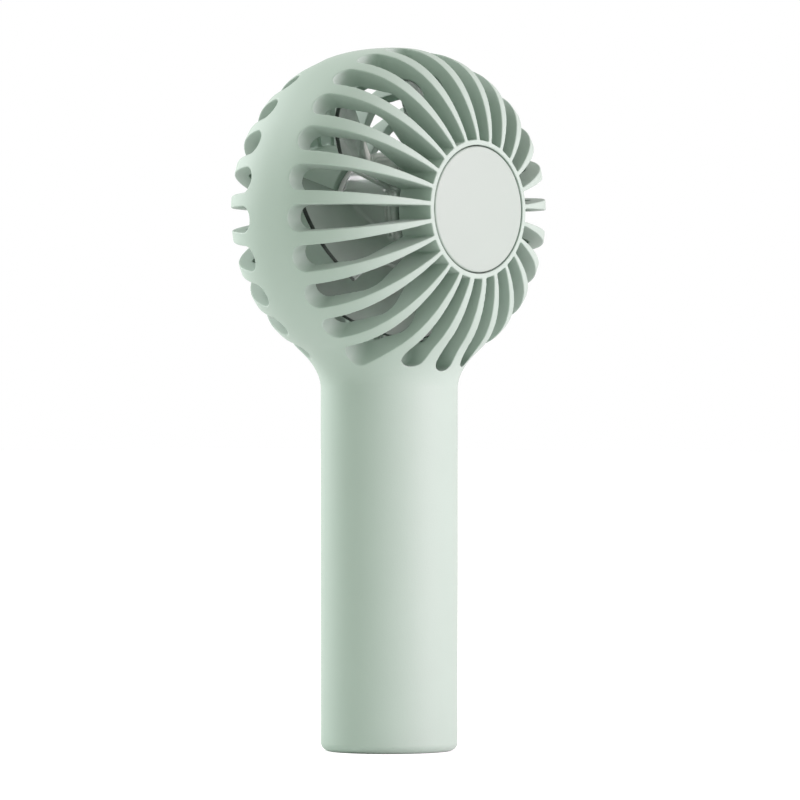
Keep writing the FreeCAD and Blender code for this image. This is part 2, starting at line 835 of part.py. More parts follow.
def motor_mount():
    base = turned("mount_turned", [
        ("0 - tube_front", "bearing_radius"),
        ("0 - tube_front", "tube_radius"),
        ("flange_front", "tube_radius"),
        ("flange_front", "flange_radius"),
        ("motor_floor", "flange_radius"),
        ("motor_floor", "bearing_radius"),
    ])
    lead_hole = rod("flange_lead_hole", "duct_radius", "4", y="flange_front - 0.5",
                    z="head_height - lead_drop", along_y=True)
    holes = grouped("flange_holes", motor_screw_holes("flange_hole") + [lead_hole])
    keep(cut("mount_cut", base, holes), "motor_base")
    keep(turned("motor_board_ring", [
        ("motor_board_front", "motor_board_bore"),
        ("motor_board_front", "motor_board_radius"),
        ("flange_front", "motor_board_radius"),
        ("flange_front", "motor_board_bore"),
    ]), "motor_board")
    screws = []
    for index, angle in enumerate(MOTOR_SCREW_ANGLES):
        screws.append(screw_at(
            f"motor_screw_{index}", f"motor_screw_circle * cos({angle})", "motor_floor_back",
            f"head_height + motor_screw_circle * sin({angle})", "motor_screw_length", head_first=False))
    keep(grouped("motor_screw_set", screws), "motor_screws")
    leads = []
    for index, side in enumerate(("lead_across", "0 - lead_across")):
        route = below_axis(MOTOR_LEAD, size(side))
        lead = round_lead(route, size("lead_radius"), size("lead_bend"))
        leads.append(computed(f"motor_lead_{index}", lead))
    keep(grouped("motor_lead_pair", leads), "motor_leads")


# Handle contents ----------------------------------------------------------------------


def battery():
    forward = "0 - cell_forward"
    top = "cell_bottom + cell_length"
    keep(rod("cell", "cell_radius", "cell_length", y=forward, z="cell_bottom"), "battery_cell")
    tabs = (("cell_tab_negative", "cell_bottom - tab_thickness"), ("cell_tab_positive", top))
    for label, height in tabs:
        keep(block(label + "_strip", "0 - tab_width / 2", f"{forward} - tab_inset", height, "tab_width",
                   "board_front - tab_end_gap + cell_forward + tab_inset", "tab_thickness"), label)
    outer = rod("cradle_tube", "cradle_outer", "cradle_top - cradle_bottom", y=forward, z="cradle_bottom")
    inner = rod("cradle_hollow", "cradle_inner", "cell_length + 2 * tab_thickness",
                y=forward, z="cell_bottom - tab_thickness")
    behind = block("cradle_open_back", "0 - room", "cradle_depth - cell_forward", "0",
                   "2 * room", "room", "2 * room")
    keep(cut("cradle_cut", outer, joined("cradle_tools", [inner, behind])), "battery_cradle")
    keep(block("foam", "0 - foam_width / 2", "cell_radius - cell_forward", "foam_bottom", "foam_width",
               "board_front - cell_radius + cell_forward", "foam_height"), "foam_pad")
    leads = []
    for index, route in enumerate((POSITIVE_LEAD, NEGATIVE_LEAD)):
        points = [Vector(*corner) for corner in route]
        lead = round_lead(points, size("lead_radius"), size("battery_lead_bend"))
        leads.append(computed(f"battery_lead_{index}", lead))
    keep(grouped("battery_lead_pair", leads), "battery_leads")


def control_board():
    plate = block("board_plate", "0 - board_width / 2", "board_front", "board_bottom",
                  "board_width", "board_back - board_front", "board_height")
    holes = []
    screws = []
    for row, height in enumerate(("board_screw_low", "board_screw_high")):
        for side, sign in enumerate(("", "0 - ")):
            across = sign + "board_screw_across"
            holes.append(rod(f"board_hole_{row}{side}", "screw_radius", "board_screw_length", x=across,
                             y="board_front - 1", z=height, along_y=True))
            screws.append(screw_at(f"board_screw_{row}{side}", across, "board_front", height,
                                   "board_screw_length"))
    keep(cut("board_drilled", plate, grouped("board_holes", holes)), "control_board")
    keep(grouped("board_screw_set", screws), "board_screws")
    chips = [
        block(name, left, "board_back", bottom, width, depth, height)
        for name, (left, bottom, width, depth, height) in CHIPS.items()
    ]
    keep(grouped("chips", chips), "board_chips")


def charging_port():
    width = "port_width"
    height = "port_thickness"
    skin = port_solid("port_outside", width, height, "board_back", "port_mouth - board_back")
    wall = "2 * port_wall"
    hollow = port_solid("port_inside", f"port_width - {wall}", f"port_thickness - {wall}",
                        "board_back + port_back", "port_mouth - board_back")
    keep(cut("port_shell", skin, hollow), "charging_socket")
    keep(block("port_tongue", "0 - tongue_width / 2", "board_back + port_back",
               "port_height - tongue_thickness / 2", "tongue_width",
               "tongue_end - board_back - port_back", "tongue_thickness"), "socket_tongue")


def port_solid(name, width, height, start, depth):
    """A flat prism with round ends, centred on the charging port."""
    middle = block(name + "_middle", f"0 - ({width} - ({height})) / 2", start,
                   f"port_height - ({height}) / 2", f"{width} - ({height})", depth, height)
    ends = [
        rod(f"{name}_end_{side}", f"({height}) / 2", depth,
            x=f"{sign}({width} - ({height})) / 2", y=start, z="port_height", along_y=True)
        for side, sign in enumerate(("", "0 - "))
    ]
    return joined(name, [middle] + ends)


def indicator_lights():
    leds = []
    pins = []
    for index in range(int(size("light_count"))):
        height = f"light_bottom + {index} * light_pitch"
        leds.append(block(f"led_{index}", "0 - led_width / 2", "board_back",
                          f"{height} - led_height / 2", "led_width", "led_depth", "led_height"))
        pins.append(rod(f"light_pin_{index}", "light_radius", "light_face - light_start",
                        y="light_start", z=height, along_y=True))
    bar = block("light_bar", "0 - light_bar_width / 2", "light_bar_front",
                "light_bottom - light_bar_overhang", "light_bar_width", "light_bar_depth",
                "(light_count - 1) * light_pitch + 2 * light_bar_overhang")
    keep(grouped("leds", leds), "indicator_leds")
    keep(joined("light_pins", pins + [bar]), "light_guide")


def power_button():
    body = turned("button_turned", [
        ("button_flange_front", "0"),
        ("button_flange_front", "button_flange"),
        ("button_flange_back", "button_flange"),
        ("button_flange_back", "button_radius"),
        ("button_face - button_bevel_depth", "button_radius"),
        ("button_face", "button_radius - button_bevel_width"),
        ("button_face - button_dish", "0"),
    ])
    keep(place(body, z="button_height"), "power_button")
    keep(rod("plunger", "plunger_radius", "button_flange_front - plunger_end", y="plunger_end",
             z="button_height", along_y=True), "switch_plunger")
    case = block("switch_case", "0 - switch_side / 2", "board_back", "button_height - switch_side / 2",
                 "switch_side", "switch_top - board_back", "switch_side")
    well = rod("switch_well", "switch_bore", "tool_length", y="switch_bore_end", z="button_height",
               along_y=True)
    keep(cut("switch_cut", case, well), "tactile_switch")


# Build, check and write ---------------------------------------------------------------

form = computed("outer_form", outer_form())
front_shell(form)
rear_shell(form)
hub_caps()
foot()
impeller()
motor()
battery()
control_board()
charging_port()
indicator_lights()
power_button()
doc.recompute()

for thing in doc.Objects:
    if "Invalid" in thing.State or "Error" in thing.State:
        raise RuntimeError(f"{thing.Name} failed: {thing.State}")
for thing in parts:
    if thing.Shape.isNull() or not thing.Shape.isValid() or not thing.Shape.Solids:
        raise RuntimeError(f"{thing.Label} has no valid solid")

os.makedirs("parts", exist_ok=True)
for thing in parts:
    thing.Shape.exportStep(f"parts/{thing.Label}.step")
    box = thing.Shape.BoundBox
    print(f"{thing.Label:18s} {len(thing.Shape.Solids):3d} {thing.Shape.Volume:10.1f} mm3"
          f"  x {box.XMin:6.1f} {box.XMax:6.1f}  y {box.YMin:6.1f} {box.YMax:6.1f}"
          f"  z {box.ZMin:6.1f} {box.ZMax:6.1f}")
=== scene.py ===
import json
import math

import bmesh
import bpy
import numpy as np
import openvdb
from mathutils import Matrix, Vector


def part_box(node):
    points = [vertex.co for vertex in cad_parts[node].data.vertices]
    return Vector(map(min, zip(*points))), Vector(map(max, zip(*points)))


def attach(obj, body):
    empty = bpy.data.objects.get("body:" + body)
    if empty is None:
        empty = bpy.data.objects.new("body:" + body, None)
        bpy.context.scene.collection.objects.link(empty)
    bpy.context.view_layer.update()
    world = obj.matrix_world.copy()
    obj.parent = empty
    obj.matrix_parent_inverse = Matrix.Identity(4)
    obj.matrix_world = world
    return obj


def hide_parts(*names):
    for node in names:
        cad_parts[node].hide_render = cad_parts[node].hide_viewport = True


# The handheld fan's looks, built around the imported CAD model.
# Shapes are worked out in millimetres as signed distance fields, then meshed in metres.

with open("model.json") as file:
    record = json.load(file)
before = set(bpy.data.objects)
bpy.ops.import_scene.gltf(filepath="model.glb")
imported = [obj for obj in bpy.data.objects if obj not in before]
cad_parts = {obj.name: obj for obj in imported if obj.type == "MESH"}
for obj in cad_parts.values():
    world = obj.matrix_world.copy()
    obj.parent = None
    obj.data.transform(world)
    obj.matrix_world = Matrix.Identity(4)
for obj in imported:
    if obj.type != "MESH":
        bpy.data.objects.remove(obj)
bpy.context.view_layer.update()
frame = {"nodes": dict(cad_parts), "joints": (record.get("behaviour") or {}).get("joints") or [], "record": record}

MM = 0.001


def node_box(node):
    """A CAD node's box in millimetres: (lowest corner, highest corner)."""
    low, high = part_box(node)
    return np.array(low) / MM, np.array(high) / MM


def mount(name):
    return next(m for m in frame["record"]["mounts"] if m["name"] == name)


SPIN = next(joint for joint in frame["joints"] if joint["name"] == "impeller_spin")
HEAD_Z = SPIN["pos_m"][2] / MM
GRIP = mount("grip")["dims"]["r_mm"]
HUB_FACE = -node_box("front_cap")[0][1]
CAP = node_box("front_cap")[1][0]
HEAD_RADIUS = node_box("front_shell")[1][2] - HEAD_Z
SEAM = 5.4

# Head form
HALF_DEPTH = HUB_FACE + 1.4
ROUNDNESS = 2.5
HUB_EDGE = 0.5
HUB = CAP + 1.45
SEAT = CAP + 0.25
SEAT_DEPTH = 24.0
CUP = 12.0
FRONT_FLOOR = 20.5
MOTOR_FLOOR = 5.5
MOTOR_FLOOR_BACK = 7.5
BARREL = 13.6
BARREL_EDGE = 0.6
SEAT_EDGE = 0.25
# Cavity
CAVITY = 34.3
CAVITY_END = 31.0
CAVITY_STRAIGHT = 2.0
CAVITY_CORNER = 15.5
CAVITY_DEPTH = 18.5
CAVITY_ROUND = 3.0
# Slots
SLOTS = 25
SLOT_TAPER = 0.0722
SLOT_BASE = 0.37
SLOT_EDGE = 0.24
SLOT_END_EDGE = 0.25
FRONT_TIP = 3.4
REAR_TIP = 7.4
TIP_SETBACK = 1.1
LOW_TIP = 11.0
LOW_END = 37.2
LOW_ROUND = 0.8
NO_SLOT = 9.0
# Handle
WALL = 2.0
BORE_TOP = 85.0
NECK = 5.5
FOOT = 2.0
# Holes through the back of the handle
HOLES_FROM = 9.0
BUTTON_HOLE = 5.3
BUTTON_EDGE = 0.35
PORT_GAP = 0.35
PORT_EDGE = 0.4
LIGHTS = 4
LIGHT_HOLE = 0.8
LED_HALF = 0.4
LIGHT_EDGE = 0.12
# Screws and the bosses that hold them
SCREW = 0.8
SCREW_HEAD = 1.5
BOARD_BOSS = 2.0
FOOT_BOSS = 2.4

VOXEL = 0.3


# Distance fields ----------------------------------------------------------------------


def round_max(a, b, radius):
    """The overlap of two shapes, with its edge rounded to a radius."""
    u = np.maximum(radius + a, 0)
    v = np.maximum(radius + b, 0)
    return np.minimum(-radius, np.maximum(a, b)) + np.sqrt(u * u + v * v)


def round_min(a, b, radius):
    """The union of two shapes, with its inner corner rounded to a radius."""
    return -round_max(-a, -b, radius)


def head_form(r, y):
    """The superellipse turned about the fan's axis, cut flat at the hub faces."""
    a = np.abs(y) / HALF_DEPTH + 1e-4
    b = r / HEAD_RADIUS + 1e-4
    total = a ** ROUNDNESS + b ** ROUNDNESS
    value = total ** (1 / ROUNDNESS)
    steep = total ** (1 / ROUNDNESS - 1)
    across = steep * a ** (ROUNDNESS - 1) / HALF_DEPTH
    outward = steep * b ** (ROUNDNESS - 1) / HEAD_RADIUS
    skin = (value - 1) / np.sqrt(across * across + outward * outward)
    return round_max(skin, np.abs(y) - HUB_FACE, HUB_EDGE)


def grip_form(x, y, z):
    """The round handle up to the head's centre, with its foot's edge rounded."""
    side = np.sqrt(x * x + y * y) - GRIP
    foot = round_max(side, -(z + HEAD_Z), FOOT)
    return np.maximum(foot, z)


def cavity_form(r, y):
    """The space that the impeller turns in."""
    slope = (CAVITY - CAVITY_END) / (CAVITY_CORNER - CAVITY_STRAIGHT)
    wall = CAVITY - slope * np.maximum(np.abs(y) - CAVITY_STRAIGHT, 0)
    side = (r - wall) / math.hypot(1, slope)
    return round_max(side, np.abs(y) - CAVITY_DEPTH, CAVITY_ROUND)


def slot_form(x, ahead, z, r, tip, skip_lowest):
    """Air slots of one side."""
    pitch = 2 * math.pi / SLOTS
    angle = np.arctan2(x, -z)
    index = np.round(angle / pitch)
    angle = angle - index * pitch
    across = r * np.sin(angle)
    along = r * np.cos(angle)
    low = np.abs(index) <= 1
    half = SLOT_TAPER * along + SLOT_BASE
    start = np.where(low, LOW_TIP, tip + TIP_SETBACK)
    short = np.minimum(ahead - start - half, 0)
    slot = np.sqrt(across * across + short * short) - half
    past = np.maximum(along - (LOW_END - half), 0)
    ended = np.sqrt(across * across + past * past) - half
    slot = np.where(low, round_max(slot, ended, LOW_ROUND), slot)
    slot = round_max(slot, HUB - r, SLOT_END_EDGE)
    if skip_lowest:
        slot = np.where(index == 0, NO_SLOT, slot)
    return slot


def shell_form(x, y, z, rear):
    """One shell: half the cage, band, hub and handle."""
    r = np.sqrt(x * x + z * z)
    ahead = y if rear else -y
    solid = round_min(head_form(r, y), grip_form(x, y, z), NECK)
    solid = np.maximum(solid, -cavity_form(r, y))
    slot = slot_form(x, ahead, z, r, REAR_TIP if rear else FRONT_TIP, rear)
    solid = round_max(solid, -slot, SLOT_EDGE)
    if rear:
        slope = (HUB - BARREL) / (CAVITY_DEPTH - MOTOR_FLOOR)
        cone = (r - BARREL - slope * (y - MOTOR_FLOOR)) / math.hypot(1, slope)
        cone = round_max(np.maximum(cone, y - CAVITY_DEPTH - 1), MOTOR_FLOOR - y, BARREL_EDGE)
        solid = round_min(solid, cone, BARREL_EDGE)
    seat = np.maximum(r - SEAT, SEAT_DEPTH - ahead)
    cup = np.maximum(r - CUP, (MOTOR_FLOOR_BACK if rear else FRONT_FLOOR) - ahead)
    solid = round_max(solid, -seat, SEAT_EDGE)
    solid = np.maximum(solid, -cup)
    bore = np.maximum(np.sqrt(x * x + y * y) - (GRIP - WALL), z + HEAD_Z - BORE_TOP)
    solid = np.maximum(solid, -bore)
    if rear:
        solid = np.minimum(solid, board_bosses(x, y, z + HEAD_Z))
        solid = cut_rear_holes(solid, x, y, z + HEAD_Z)
    else:
        solid = np.minimum(solid, foot_bosses(x, y, z + HEAD_Z))
    return solid


def board_bosses(x, y, height):
    """Four round bosses that hold the control board, under its screws."""
    low, high = node_box("board_screws")
    across = np.abs(x) - (high[0] - SCREW_HEAD)
    up = np.minimum(np.abs(height - low[2] - SCREW_HEAD), np.abs(height - high[2] + SCREW_HEAD))
    round_side = np.sqrt(across * across + up * up)
    back = node_box("control_board")[1][1]
    boss = np.maximum(round_side - BOARD_BOSS, np.maximum(back - y, y - GRIP + WALL + 1))
    pilot = np.maximum(round_side - SCREW, y - high[1])
    return np.maximum(boss, -pilot)


def foot_bosses(x, y, height):
    """Two bosses inside the foot, above the base cap's screws."""
    low, high = node_box("base_screws")
    across = np.abs(x) - (high[0] - SCREW_HEAD)
    along = y - (low[1] + high[1]) / 2
    round_side = np.sqrt(across * across + along * along)
    bottom = node_box("base_cap")[1][2]
    top = node_box("battery_cradle")[0][2]
    boss = np.maximum(round_side - FOOT_BOSS, np.maximum(bottom - height, height - top))
    boss = np.maximum(boss, np.sqrt(x * x + y * y) - GRIP + WALL / 2)
    pilot = np.maximum(round_side - SCREW, height - high[2])
    return np.maximum(boss, -pilot)


def cut_rear_holes(solid, x, y, height):
    """The button, charging and light holes through the back of the handle."""
    inside = HOLES_FROM - y
    low, high = node_box("power_button")
    middle = (low[2] + high[2]) / 2
    button = np.sqrt(x * x + (height - middle) ** 2) - BUTTON_HOLE
    solid = round_max(solid, -np.maximum(button, inside), BUTTON_EDGE)
    low, high = node_box("charging_socket")
    middle = (low[2] + high[2]) / 2
    half = (high[2] - low[2]) / 2
    flat = np.maximum(np.abs(x) - (high[0] - half), 0)
    port = np.sqrt(flat * flat + (height - middle) ** 2) - half - PORT_GAP
    solid = round_max(solid, -np.maximum(port, inside), PORT_EDGE)
    low, high = node_box("indicator_leds")
    bottom = low[2] + LED_HALF
    pitch = (high[2] - low[2] - 2 * LED_HALF) / (LIGHTS - 1)
    index = np.clip(np.round((height - bottom) / pitch), 0, LIGHTS - 1)
    light = np.sqrt(x * x + (height - bottom - index * pitch) ** 2) - LIGHT_HOLE
    return round_max(solid, -np.maximum(light, inside), LIGHT_EDGE)


# Impeller
TIP = node_box("impeller")[1][0]
BLADES = 7
BLADE_FRONT = 13.3
BLADE_BACK = 1.5
BLADE_WRAP = math.radians(47.0)
BLADE_PHASE = math.radians(189.0)
SPINNER = 14.0
SPINNER_FRONT = -node_box("impeller")[0][1]
SPINNER_BACK = 2.0
SPINNER_HOLLOW = 12.2
SPINNER_FLOOR = 14.0
SPINNER_GROOVES = (13.6, 12.4)
GROOVE = 0.35
BLADE_BULGE = 1.1
BLADE_HALF_THICK = 0.9
BLADE_THINNING = 0.35
BLADE_EDGE_SHARE = 0.7
BLADE_ROOT = 1.0
# Where the painted shade on the blade tips begins and where it is full, in mm inside the tip
TIP_SHADE_FROM = 0.42
TIP_SHADE_FULL = 0.22


def impeller_form(x, y, z):
    """A hollow hub with twisted blades, thicker at the root and thinner at the two long edges."""
    r = np.sqrt(x * x + z * z)
    ahead = -y
    pitch = 2 * math.pi / BLADES
    angle = np.arctan2(z, x) - BLADE_PHASE
    angle = angle - np.round(angle / pitch) * pitch
    share = np.clip(angle / BLADE_WRAP + 0.5, 0, 1)
    rise = BLADE_FRONT + BLADE_BACK
    mean = share * rise - BLADE_BACK - BLADE_BULGE * np.sin(math.pi * share)
    slope = rise / (BLADE_WRAP * np.maximum(r, 8))
    lean = np.sqrt(1 + slope * slope)
    off = (ahead - mean) / lean
    over = np.maximum(np.abs(angle) - BLADE_WRAP / 2, 0) * r * lean
    thick = BLADE_HALF_THICK - BLADE_THINNING * np.clip((r - SPINNER) / (TIP - SPINNER), 0, 1)
    belly = np.sqrt(np.sin(math.pi * np.clip(share, 0.02, 0.98)))
    thick = thick * (BLADE_EDGE_SHARE + (1 - BLADE_EDGE_SHARE) * belly)
    blade = np.sqrt(off * off + over * over) - thick
    blade = round_max(blade, r - TIP, 0.25)
    hub = round_max(r - SPINNER, ahead - SPINNER_FRONT, 1.0)
    hub = round_max(hub, -ahead - SPINNER_BACK, 0.3)
    for groove in SPINNER_GROOVES:
        ring = np.sqrt((r - SPINNER) ** 2 + (ahead - groove) ** 2) - GROOVE
        hub = round_max(hub, -ring, 0.15)
    solid = round_min(hub, blade, BLADE_ROOT)
    hollow = np.maximum(r - SPINNER_HOLLOW, ahead - SPINNER_FLOOR)
    return np.maximum(solid, -hollow)


# Meshing ------------------------------------------------------------------------------


def gradient(form, points):
    """The slope of a distance field at each point, by central differences."""
    step = 0.05
    slopes = []
    for axis in range(3):
        shift = np.zeros(3)
        shift[axis] = step
        slopes.append(form(*(points + shift).T) - form(*(points - shift).T))
    return np.stack(slopes, 1) / (2 * step)


def settle(form, points, rounds=3):
    """Move points onto the surface of a distance field."""
    for _ in range(rounds):
        slope = gradient(form, points)
        steep = np.maximum((slope * slope).sum(1), 0.1)
        step = np.clip(form(*points.T), -VOXEL, VOXEL) / steep
        points = points - slope * step[:, None]
    return points


def mesh_form(name, form, low, high, voxel, faces):
    """Mesh a distance field as a new object, reduce its faces and settle its corners onto the field."""
    low = np.array(low, float)
    counts = np.ceil((np.array(high) - low) / voxel).astype(int) + 1
    axes = [low[k] + voxel * np.arange(counts[k]) for k in range(3)]
    grid = openvdb.FloatGrid(2 * voxel)
    slab = 24
    for first in range(0, counts[2], slab):
        heights = axes[2][first:first + slab]
        x, y, z = np.meshgrid(axes[0], axes[1], heights, indexing="ij")
        values = form(x.astype(np.float32), y.astype(np.float32), z.astype(np.float32))
        values = np.clip(values, -2 * voxel, 2 * voxel).astype(np.float32)
        grid.copyFromArray(values, ijk=(0, 0, first), tolerance=0)
    corners, triangles, quads = grid.convertToPolygons(isovalue=0.0, adaptivity=0.0)
    points = settle(form, low + voxel * corners.astype(float), 1)
    mesh = bpy.data.meshes.new(name)
    polygons = quads.tolist() + triangles.tolist()
    mesh.from_pydata((points * MM + np.array([0, 0, HEAD_Z * MM])).tolist(), [], polygons)
    piece = bpy.data.objects.new(name, mesh)
    bpy.context.scene.collection.objects.link(piece)
    reduce_faces(piece, faces)
    settle_mesh(piece, form)
    return piece


def reduce_faces(piece, faces):
    """Collapse a mesh to about a number of triangles."""
    triangles = sum(len(face.vertices) - 2 for face in piece.data.polygons)
    if triangles <= faces:
        return
    modifier = piece.modifiers.new("reduce", "DECIMATE")
    modifier.ratio = faces / triangles
    depsgraph = bpy.context.evaluated_depsgraph_get()
    reduced = bpy.data.meshes.new_from_object(piece.evaluated_get(depsgraph))
    piece.modifiers.clear()
    piece.data = reduced
    piece.data.name = piece.name


def field_points(piece):
    """A mesh's corners in the fields' own frame, in millimetres from the head's centre."""
    points = np.empty(len(piece.data.vertices) * 3)
    piece.data.vertices.foreach_get("co", points)
    return points.reshape(-1, 3) / MM - np.array([0, 0, HEAD_Z])


def settle_mesh(piece, form):
    """Move a mesh's corners onto the surface of a distance field."""
    points = settle(form, field_points(piece), 2)
    piece.data.vertices.foreach_set("co", ((points + np.array([0, 0, HEAD_Z])) * MM).ravel())


def trim_at_seam(piece, rear):
    """Cut a shell flat at the seam and close the cut."""
    work = bmesh.new()
    work.from_mesh(piece.data)
    everything = work.verts[:] + work.edges[:] + work.faces[:]
    cut = bmesh.ops.bisect_plane(
        work, geom=everything, dist=1e-7, plane_co=(0, SEAM * MM, 0), plane_no=(0, 1, 0),
        clear_inner=rear, clear_outer=not rear,
    )
    rim = [edge for edge in cut["geom_cut"] if isinstance(edge, bmesh.types.BMEdge)]
    bmesh.ops.triangle_fill(work, edges=rim, use_beauty=True, normal=(0, -1 if rear else 1, 0))
    work.to_mesh(piece.data)
    work.free()


def field_normals(piece, form, seam=None):
    """Smooth normals taken from the field, and flat ones on a cut at the seam."""
    mesh = piece.data
    normals = gradient(form, field_points(piece))
    normals /= np.maximum(np.linalg.norm(normals, axis=1), 1e-6)[:, None]
    corner_of = np.empty(len(mesh.loops), int)
    mesh.loops.foreach_get("vertex_index", corner_of)
    at_corners = normals[corner_of]
    if seam is not None:
        sizes = np.empty(len(mesh.polygons), int)
        mesh.polygons.foreach_get("loop_total", sizes)
        flats = np.empty(len(mesh.polygons) * 3)
        mesh.polygons.foreach_get("normal", flats)
        flats = np.repeat(flats.reshape(-1, 3), sizes, axis=0)
        on_seam = np.abs(field_points(piece)[:, 1] - seam) < 1e-3
        starts = np.concatenate([[0], np.cumsum(sizes)[:-1]])
        whole = np.repeat(np.logical_and.reduceat(on_seam[corner_of], starts), sizes)
        at_corners[whole] = flats[whole]
    mesh.shade_smooth()
    mesh.normals_split_custom_set(at_corners.tolist())
    mesh.update()


def lathe(name, profile, centre, segments=96):
    """Turn a profile of (radius, distance towards +Y) about an axis along Y."""
    turns = [2 * math.pi * k / segments for k in range(segments)]
    points = []
    faces = []
    for turn in turns:
        across, up = math.cos(turn), math.sin(turn)
        points += [
            (radius * across + centre[0], along + centre[1], radius * up + centre[2])
            for radius, along in profile
        ]
    rows = len(profile)
    for k in range(segments):
        here = k * rows
        there = (k + 1) % segments * rows
        for row in range(rows - 1):
            faces.append((here + row, there + row, there + row + 1, here + row + 1))
    mesh = bpy.data.meshes.new(name)
    mesh.from_pydata([tuple(c * MM for c in point) for point in points], [], faces)
    piece = bpy.data.objects.new(name, mesh)
    bpy.context.scene.collection.objects.link(piece)
    weld(piece)
    return piece


def weld(piece):
    """Join a lathed mesh's doubled corners, turn its faces outwards and shade it smooth."""
    work = bmesh.new()
    work.from_mesh(piece.data)
    bmesh.ops.remove_doubles(work, verts=work.verts, dist=1e-6)
    bmesh.ops.dissolve_degenerate(work, edges=work.edges, dist=1e-7)
    bmesh.ops.recalc_face_normals(work, faces=work.faces)
    work.to_mesh(piece.data)
    work.free()
    piece.data.shade_smooth()


# Materials ----------------------------------------------------------------------------


def material(name, colour, roughness, metallic=0.0, mottle=0.04, mottle_scale=60.0,
             grain=0.02, grain_scale=2500.0, sheen=0.0, clear=0.0):
    """A procedural surface: mottled colour, uneven roughness and fine grain."""
    made = bpy.data.materials.new(name)
    made.use_nodes = True
    nodes = made.node_tree.nodes
    links = made.node_tree.links
    shader = nodes["Principled BSDF"]
    shader.inputs["Metallic"].default_value = metallic
    shader.inputs["Sheen Weight"].default_value = sheen
    shader.inputs["Sheen Roughness"].default_value = 0.5
    shader.inputs["Transmission Weight"].default_value = clear
    place = nodes.new("ShaderNodeTexCoord")
    cloud = nodes.new("ShaderNodeTexNoise")
    cloud.inputs["Scale"].default_value = mottle_scale
    cloud.inputs["Detail"].default_value = 3
    links.new(place.outputs["Object"], cloud.inputs["Vector"])
    ramp = nodes.new("ShaderNodeValToRGB")
    ramp.color_ramp.elements[0].position = 0.3
    ramp.color_ramp.elements[1].position = 0.7
    ramp.color_ramp.elements[0].color = (*[c * (1 - mottle) for c in colour], 1)
    ramp.color_ramp.elements[1].color = (*[min(1, c * (1 + mottle)) for c in colour], 1)
    links.new(cloud.outputs["Fac"], ramp.inputs["Fac"])
    links.new(ramp.outputs["Color"], shader.inputs["Base Color"])
    spread = nodes.new("ShaderNodeMapRange")
    spread.inputs["To Min"].default_value = roughness - 0.05
    spread.inputs["To Max"].default_value = roughness + 0.05
    links.new(cloud.outputs["Fac"], spread.inputs["Value"])
    links.new(spread.outputs["Result"], shader.inputs["Roughness"])
    fine = nodes.new("ShaderNodeTexNoise")
    fine.inputs["Scale"].default_value = grain_scale
    links.new(place.outputs["Object"], fine.inputs["Vector"])
    bump = nodes.new("ShaderNodeBump")
    bump.inputs["Strength"].default_value = grain
    bump.inputs["Distance"].default_value = 0.0002
    links.new(fine.outputs["Fac"], bump.inputs["Height"])
    links.new(bump.outputs["Normal"], shader.inputs["Normal"])
    return made


def paint(thing, made):
    thing.data.materials.clear()
    thing.data.materials.append(made)


def dress(thing, slot):
    """Give a new piece the look of a material slot."""
    paint(thing, LOOKS[slot])


GREEN = (0.30, 0.41, 0.335)
FINE = 3500.0
LOOKS = {
    "shell_green": material(
        "soft_touch_green", GREEN, 0.62, mottle=0.012, grain=0.10, grain_scale=FINE, sheen=0.08
    ),
    "cap_green": material(
        "cap_green", (0.278, 0.366, 0.304), 0.55, mottle=0.01, grain=0.06, grain_scale=FINE
    ),
    "impeller_white": material(
        "impeller_white", (0.50, 0.60, 0.53), 0.16, mottle=0.015, grain=0.03, clear=0.6
    ),
    "steel": material("steel", (0.62, 0.63, 0.65), 0.28, metallic=1.0, mottle=0.05, grain=0.05),
    "magnet": material("magnet", (0.03, 0.03, 0.032), 0.5, mottle=0.2),
    "lamination": material("lamination", (0.20, 0.21, 0.22), 0.4, metallic=0.9, mottle=0.1),
    "copper": material(
        "copper", (0.62, 0.25, 0.10), 0.3, metallic=0.9, mottle=0.12, mottle_scale=900.0
    ),
    "board_green": material("board_green", (0.01, 0.12, 0.05), 0.35, mottle=0.15, mottle_scale=300.0),
    "black_plastic": material("black_plastic", (0.02, 0.02, 0.022), 0.45, mottle=0.1),
    "cell_wrap": material("cell_wrap", (0.03, 0.10, 0.32), 0.35, mottle=0.05),
    "nickel": material("nickel", (0.60, 0.58, 0.53), 0.3, metallic=1.0, mottle=0.06),
    "red_lead": material("red_lead", (0.45, 0.02, 0.02), 0.5, mottle=0.05),
    "foam": material(
        "foam", (0.03, 0.03, 0.035), 0.95,
        mottle=0.3, mottle_scale=1500.0, grain=0.5, grain_scale=1200.0,
    ),
    "pad_rubber": material("pad_rubber", (0.12, 0.15, 0.13), 0.8, mottle=0.08, grain=0.2),
    "clear_plastic": material("clear_plastic", (0.85, 0.88, 0.86), 0.15, mottle=0.01, clear=0.6),
    "button_green": material(
        "button_green", (0.36, 0.45, 0.385), 0.5, mottle=0.01, grain=0.06, grain_scale=FINE
    ),
    "frame_plastic": material("frame_plastic", (0.72, 0.73, 0.72), 0.5, mottle=0.03),
}


